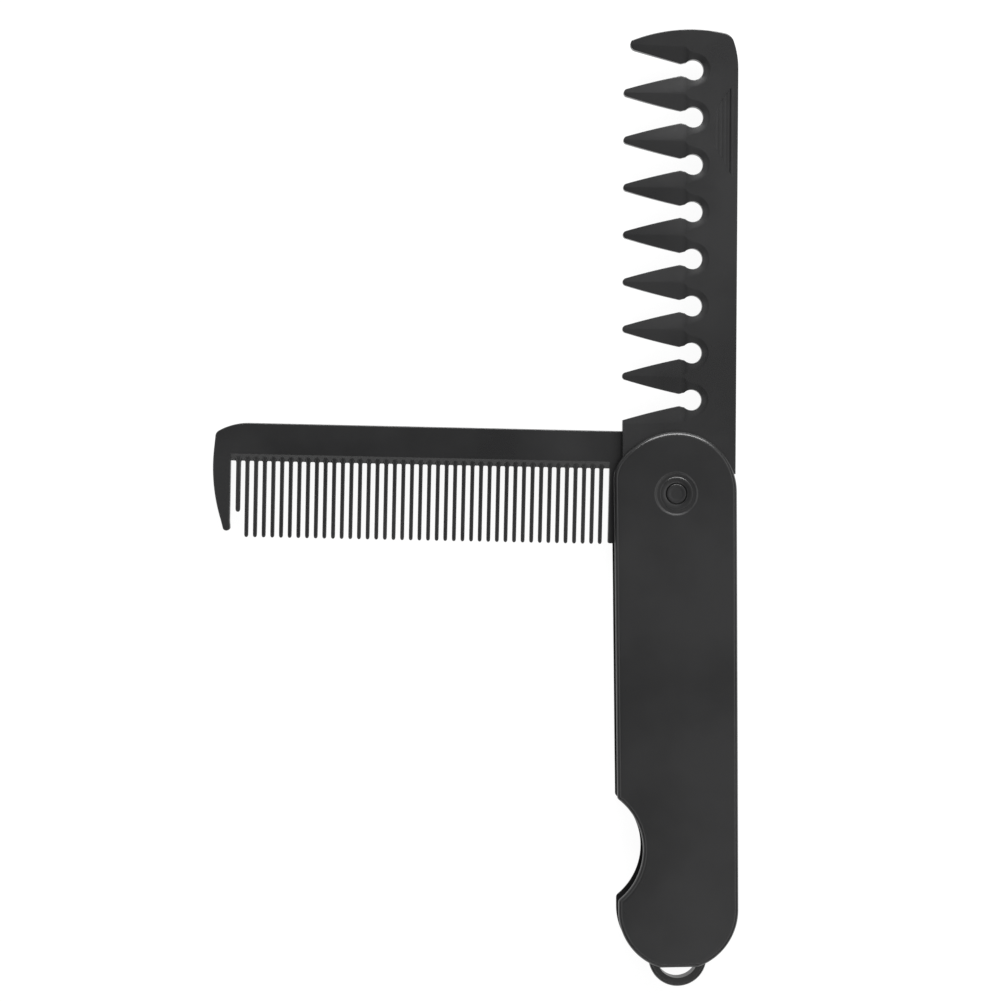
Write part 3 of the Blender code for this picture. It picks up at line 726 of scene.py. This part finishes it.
def gripEdge(edge):
    # the line where the field's soft edge meets the flat face
    (farX, farZ), (low, high) = grip["crispFrom"], grip["edgeSlants"]
    if len(edge.link_faces) != 2 or any(v.co.x / mm < farX or v.co.z / mm < farZ for v in edge.verts):
        return False
    slants = sorted(face.normal.z for face in edge.link_faces)
    return slants[1] > grip["flatSlant"] and low < slants[0] < high


def makeWideComb():
    s = wideSizes
    comb = drawWideSlab()
    for index in range(s["slots"]):
        lower = "root" if index == 0 else "inner"
        upper = "end" if index == s["slots"] - 1 else "inner"
        combine(comb, drawGapCutter(lower, upper, s["firstSlot"] + s["pitch"] * index))
    thinTips(comb)
    combine(comb, drawGrip())
    cutBore(comb, s["bore"])
    hangOnPin(comb, s["tilt"])
    finishPiece(comb, "wide_comb", "wide_comb", widePlastic, gripEdge)
    print("wide comb done")


fineSizes = {
    "low": 1.6, "high": 3.6, "middle": 2.6, "tilt": -1.76,
    "backY": 14.72, "rootY": 5.65, "tipY": -12.60, "tang": 13.1, "stopX": -4.7, "bore": 1.85,
    "tangLeft": -15.80, "tangBottom": -12.36, "tangCorner": 0.35, "tangCornerSteps": 4,
    "teeth": 42, "firstTooth": -102.63, "lastTooth": -17.72, "shortTooth": -104.74, "shortTip": -6.60,
    "bandHeight": 1.65, "bandHalf": 0.50, "bandInset": 0.02, "bandBelow": 1,
    "bandTop": 0.999, "bandSlants": (0.95, 0.985), "bandEdge": 0.3,
    "guardLeft": -110.78, "guardInner": -106.60, "guardRadius": 42.5, "guardY": 4.5,
    "guardTurn": (175, 23), "guardRise": 1.5,
    "guardTip": (-107.35, -10.25), "guardTipRadius": 0.90, "guardTipTurn": (205, 145),
    "cornerArc": (-102.2, 0.12), "cornerRadius": 14.6, "cornerTurn": 120.0,
    "smallCorner": (-108.75, 11.35), "smallRadius": 1.58, "smallTurn": (130, 42),
    "rim": 0.24, "rimSteps": 4,
    "steps": {"corner": 10, "small": 8, "guard": 20, "guardTip": 14, "tang": 60},
}


def drawFineSlab():
    s, steps = fineSizes, fineSizes["steps"]
    slab = startLine("fineComb", s["stopX"], s["backY"], s["low"])
    lineTo(slab, *onArc(s["cornerArc"], s["cornerRadius"], 90))
    arcTo(slab, s["cornerArc"], s["cornerTurn"] - 90, steps["corner"])
    lineTo(slab, *onArc(s["smallCorner"], s["smallRadius"], s["smallTurn"][0]))
    arcTo(slab, s["smallCorner"], s["smallTurn"][1], steps["small"])
    side = (s["guardLeft"] + s["guardRadius"], s["guardY"])
    lineTo(slab, *onArc(side, s["guardRadius"], s["guardTurn"][0]))
    arcTo(slab, side, s["guardTurn"][1], steps["guard"])
    lineTo(slab, *onArc(s["guardTip"], s["guardTipRadius"], s["guardTipTurn"][0]))
    arcTo(slab, s["guardTip"], s["guardTipTurn"][1], steps["guardTip"])
    lineTo(slab, s["guardInner"], s["guardTip"][1] + s["guardRise"])
    lineTo(slab, y=s["rootY"])
    lineTo(slab, s["tangLeft"])
    lineTo(slab, y=s["tangBottom"])
    start = 180 + math.degrees(math.asin(-s["tangBottom"] / s["tang"]))
    stop = 360 + 180 - math.degrees(math.acos(-s["stopX"] / s["tang"]))
    lineTo(slab, *onArc((0, 0), s["tang"], start))
    arcTo(slab, (0, 0), stop - start, steps["tang"])
    fillOutline()
    extrudeBy(z=s["high"] - s["low"])
    faceOutwards()
    bevelEdges(slab, uprightAt((s["tangLeft"], s["tangBottom"])), s["tangCorner"], s["tangCornerSteps"])
    bevelEdges(slab, atLevel(s["low"], s["high"]), s["rim"], s["rimSteps"])
    deselectAll()
    return slab


def drawBand(side):
    # the slanting band that the teeth grow from
    s = fineSizes
    half = (s["high"] - s["low"]) / 2
    slope = (half - s["bandHalf"]) / s["bandHeight"]
    band = startLine("rootBand", s["guardInner"] + s["bandInset"], s["rootY"] + s["bandHeight"],
                     s["middle"] + side * half)
    lineTo(band, y=s["rootY"] - s["bandBelow"],
           z=s["middle"] + side * (s["bandHalf"] - slope * s["bandBelow"]))
    lineTo(band, z=s["middle"] + side * 2 * half)
    lineTo(band, y=s["rootY"] + s["bandHeight"])
    fillOutline()
    extrudeBy(x=s["tangLeft"] - s["guardInner"] - 2 * s["bandInset"])
    faceOutwards()
    deselectAll()
    return band


toothSizes = {
    "rootWidth": 0.95, "tipWidth": 0.93, "rootDepth": 1.76, "tipDepth": 1.20, "shortWidth": 1.10,
    "above": 2.2, "stub": 0.2, "round": 0.33, "roundSteps": 4,
    # where a tooth flares into the band: height from the root, width and a change in depth
    "flare": ((0.30, 1.55, 1.0), (0.06, 1.34, 1.0), (-0.12, 1.12, 1.0), (-0.38, 1.0, 0.995)),
    # its rounded tip: height in tip widths, and the change in width and depth at each row
    "taperEnd": 1.2, "tip": ((0.55, 0.97, 0.97), (0.28, 0.86, 0.90), (0.10, 0.72, 0.80), (0.0, 0.45, 0.60)),
}


def drawTooth(name, rootWidth, tipWidth, tipY):
    # a bar with its four long edges rounded, necked down row by row to a rounded tip
    s, middle, rootY = toothSizes, fineSizes["middle"], fineSizes["rootY"]
    top = rootY + s["above"]
    deselectAll()
    bpy.ops.mesh.primitive_cube_add(size=mm)
    tooth = bpy.context.object
    tooth.name = name
    bpy.ops.object.mode_set(mode="EDIT")
    bpy.ops.transform.resize(value=(rootWidth, s["stub"], s["rootDepth"]))
    bpy.ops.transform.translate(value=(0, (top - s["stub"] / 2) * mm, middle * mm))
    bevelEdges(tooth, lambda edge: abs(edge.verts[0].co.y - edge.verts[1].co.y) > s["stub"] / 2 * mm,
               s["round"] * rootWidth, s["roundSteps"])
    rows, before = [], 1.0
    for rise, flare, deep in s["flare"]:
        rows.append((rootY + rise, flare / before, deep))
        before = flare
    rows.append((tipY + s["taperEnd"], tipWidth / rootWidth, s["tipDepth"] / s["rootDepth"]))
    rows += [(tipY + rise * tipWidth, wide, deep) for rise, wide, deep in s["tip"]]
    level = top - s["stub"]
    selectWhere(tooth, "FACE", lambda face: face.normal.y < -0.9)
    for y, wide, deep in rows:
        extrudeBy(y=y - level)
        bpy.ops.transform.resize(value=(wide, 1, deep), center_override=(0, y * mm, middle * mm))
        level = y
    deselectAll()
    return tooth


def setTeeth():
    # one long tooth is copied along the comb, and a shorter one stands beside the guard
    s, t = fineSizes, toothSizes
    first = drawTooth("longTooth", t["rootWidth"], t["tipWidth"], s["tipY"])
    pitch = (s["lastTooth"] - s["firstTooth"]) / (s["teeth"] - 1)
    teeth = [drawTooth("shortTooth", t["shortWidth"], t["shortWidth"], s["shortTip"])]
    for index in range(s["teeth"]):
        pickPiece(first)
        bpy.ops.object.duplicate(linked=False)
        teeth.append(bpy.context.object)
        teeth[-1].location.x = (s["firstTooth"] + pitch * index) * mm
    teeth[0].location.x = s["shortTooth"] * mm
    bpy.data.objects.remove(first)
    deselectAll()
    for tooth in teeth:
        tooth.select_set(True)
    bpy.context.view_layer.objects.active = teeth[0]
    bpy.ops.object.transform_apply(location=True, rotation=False, scale=False)
    bpy.ops.object.join()
    return bpy.context.object


def bandEdge(edge):
    # the line where the slanting band meets the flat faces
    s = fineSizes
    if len(edge.link_faces) != 2:
        return False
    slants = sorted(abs(face.normal.z) for face in edge.link_faces)
    slanting = s["bandSlants"][0] < slants[0] < s["bandSlants"][1]
    return slants[1] > s["bandTop"] and slanting and edge.calc_length() > s["bandEdge"] * mm


def makeFineComb():
    s = fineSizes
    comb = drawFineSlab()
    for side in (1, -1):
        combine(comb, drawBand(side))
    combine(comb, setTeeth(), "UNION")
    cutBore(comb, s["bore"])
    hangOnPin(comb, s["tilt"])
    finishPiece(comb, "fine_comb", "fine_comb", finePlastic, bandEdge)
    print("fine comb done")


makeHandle()
makePin()
makeWideComb()
makeFineComb()


studio = {
    "floorTone": 0.10, "floorGlow": 0.94, "floorSize": 6, "floorDrop": 0.02,
    "wallTone": 0.1, "wallGlow": 0.90, "wallRadius": 2.9, "wallHeight": 6, "air": 0.12,
    # softboxes: compass turn and rise in degrees, width and height in metres, and brightness
    "lamps": (
        ("lampTopLow", 80, 28, 0.86, 0.30, 17.5),
        ("lampTopHigh", 88, 52, 0.90, 0.24, 0.22),
        ("lampLeft", 180, 49, 1.00, 0.40, 1.35),
        ("lampRight", 0, 50, 1.00, 0.34, 1.3),
        ("lampFoot", 270, 55, 1.00, 0.15, 2.3),
        ("lampFootLow", 270, 18, 1.00, 0.30, 1.2),
        ("lampOver", 0, 66, 0.90, 0.66, 0.34),
    ),
    "distance": 0.85, "aim": (0, 45, 5),
}


def glowingPaint(name, tone, glow):
    tree = shaderTree(name)
    return tree.finish({"Base Color": (tone, tone, tone, 1), "Roughness": 0.9, "Specular IOR Level": 0.1,
                        "Emission Color": (1, 1, 1, 1), "Emission Strength": glow})


def makeTable():
    # a pale light table with a pale round wall behind it
    s = studio
    deselectAll()
    bpy.ops.mesh.primitive_plane_add(size=s["floorSize"], location=(0, 0, -s["floorDrop"] * mm))
    floor = bpy.context.object
    floor.name = "studioFloor"
    floor.data.materials.append(glowingPaint("floorPaint", s["floorTone"], s["floorGlow"]))
    deselectAll()
    bpy.ops.mesh.primitive_cylinder_add(vertices=96, radius=s["wallRadius"], depth=s["wallHeight"],
                                        end_fill_type="NOTHING")
    wall = bpy.context.object
    wall.name = "studioWall"
    wall.data.materials.append(glowingPaint("wallPaint", s["wallTone"], s["wallGlow"]))
    wall.visible_diffuse = wall.visible_shadow = False
    wall.visible_glossy = False


def makeLamps():
    # softboxes on four sides and one overhead, all aimed at the middle of the comb
    s = studio
    aim = Vector(s["aim"]) * mm
    for name, turn, rise, width, height, brightness in s["lamps"]:
        light = bpy.data.lights.new(name, "AREA")
        light.shape, light.size, light.size_y = "RECTANGLE", width, height
        light.energy = brightness * math.pi * width * height
        lamp = bpy.data.objects.new(name, light)
        bpy.context.scene.collection.objects.link(lamp)
        turn, rise = math.radians(turn), math.radians(rise)
        way = Vector((math.cos(turn) * math.cos(rise), math.sin(turn) * math.cos(rise), math.sin(rise)))
        lamp.location = aim + way * s["distance"]
        lamp.rotation_euler = way.to_track_quat("Z", "Y").to_euler()
        lamp.visible_camera = False


def makeAir():
    world = bpy.data.worlds.new("studioAir")
    bpy.context.scene.world = world
    world.use_nodes = True
    air = world.node_tree.nodes["Background"]
    air.inputs["Color"].default_value = (1, 1, 1, 1)
    air.inputs["Strength"].default_value = studio["air"]
    bpy.context.scene.view_settings.view_transform = "Standard"


view = {
    "place": (-58.685, 58.588, 435.542),
    "right": (0.999181, -0.009156, 0.039404),
    "up": (0.010058, 0.999690, -0.022754),
    "back": (-0.039183, 0.023132, 0.998964),
    "lens": 64.67, "sensor": 36, "nearest": 0.01,
}


def makeCamera():
    data = bpy.data.cameras.new("viewCamera")
    data.lens, data.sensor_width, data.clip_start = view["lens"], view["sensor"], view["nearest"]
    camera = bpy.data.objects.new("viewCamera", data)
    bpy.context.scene.collection.objects.link(camera)
    turn = Matrix((view["right"], view["up"], view["back"])).transposed()
    camera.matrix_world = Matrix.Translation(Vector(view["place"]) * mm) @ turn.to_4x4()
    bpy.context.scene.camera = camera
    print("camera ready")


makeTable()
makeAir()
makeLamps()
print("studio ready")
makeCamera()
